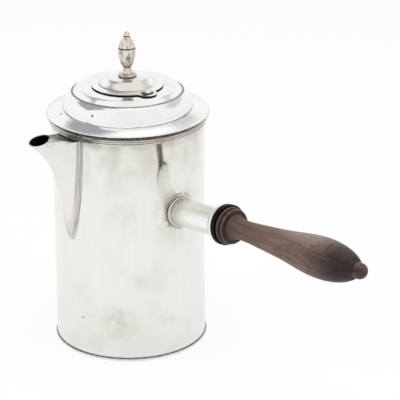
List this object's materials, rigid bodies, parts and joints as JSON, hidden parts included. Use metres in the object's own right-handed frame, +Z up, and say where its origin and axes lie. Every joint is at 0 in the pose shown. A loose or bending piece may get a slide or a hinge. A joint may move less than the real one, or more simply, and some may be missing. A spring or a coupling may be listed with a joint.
{
  "type": "chocolate pot",
  "caption": "Straight-sided silver chocolate pot with a covered beak spout, a turned wooden side handle, a domed lift-off lid and a small swinging cover with an urn finial.",
  "frame": {"origin": "on the table, at the centre of the body's round foot", "axes": "+Z up; +X out along the wooden handle; the spout points along -Y"},
  "size_m": [0.2942, 0.1457, 0.2306],
  "materials": {
    "silver": "polished sterling silver, lightly worn",
    "finial_silver": "polished silver with a warm brownish tarnish",
    "turned_wood": "dark brown turned hardwood, waxed satin",
    "black_wood": "ebonised turned wood, satin"
  },
  "bodies": {
    "pot": {"body_wall": "silver", "base_plate": "silver", "foot_ring": "silver", "mouth_band": "silver", "spout": "silver", "handle_socket": "silver", "socket_collar": "silver", "socket_rim": "silver", "handle_washer": "black_wood", "handle_grip": "turned_wood", "handle_pin": "silver"},
    "lid": {"lid_dome": "silver", "lid_rim_wire": "silver", "lid_bezel": "silver", "lid_plate": "silver", "pivot_rivet": "silver", "pivot_spacer": "silver", "rivet_burr": "silver"},
    "cover": {"cover_dome": "silver", "finial_foot": "finial_silver", "finial_urn": "finial_silver", "finial_cap": "finial_silver", "finial_stud": "silver", "finial_nut": "silver"}
  },
  "joints": [
    {"name": "lid_lift", "type": "slide", "parent": "pot", "child": "lid", "axis": [0, 0, 1], "range_m": [0, 0.06]},
    {"name": "cover_swing", "type": "hinge", "parent": "lid", "child": "cover", "pos_m": [0.02578, -0.00339, 0.192], "axis": [0, 0, 1], "continuous": true}
  ]
}
